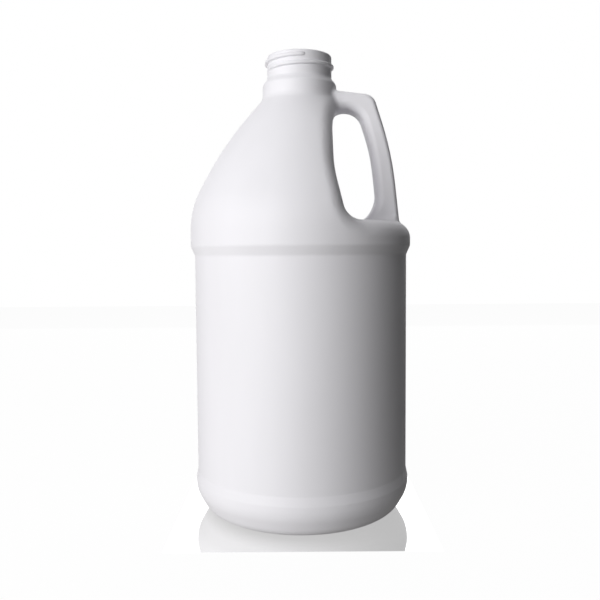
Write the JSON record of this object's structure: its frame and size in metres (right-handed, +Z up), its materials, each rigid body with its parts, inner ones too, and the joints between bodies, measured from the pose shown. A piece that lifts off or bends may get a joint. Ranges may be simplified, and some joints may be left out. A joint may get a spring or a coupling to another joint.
{
  "type": "round handled plastic bottle",
  "caption": "Round blow-moulded plastic bottle with a hollow side handle in a shoulder niche, a recessed label panel and an open threaded neck, for storing and pouring liquids.",
  "frame": {"origin": "middle of the base on the plane it stands on", "axes": "+Z up along the neck's axis, +X towards the handle"},
  "size_m": [0.12, 0.12, 0.2475],
  "materials": {
    "shell": "satin, slightly waxy high-density polyethylene"
  },
  "bodies": {
    "root": {"bottle": "shell"}
  },
  "joints": []
}
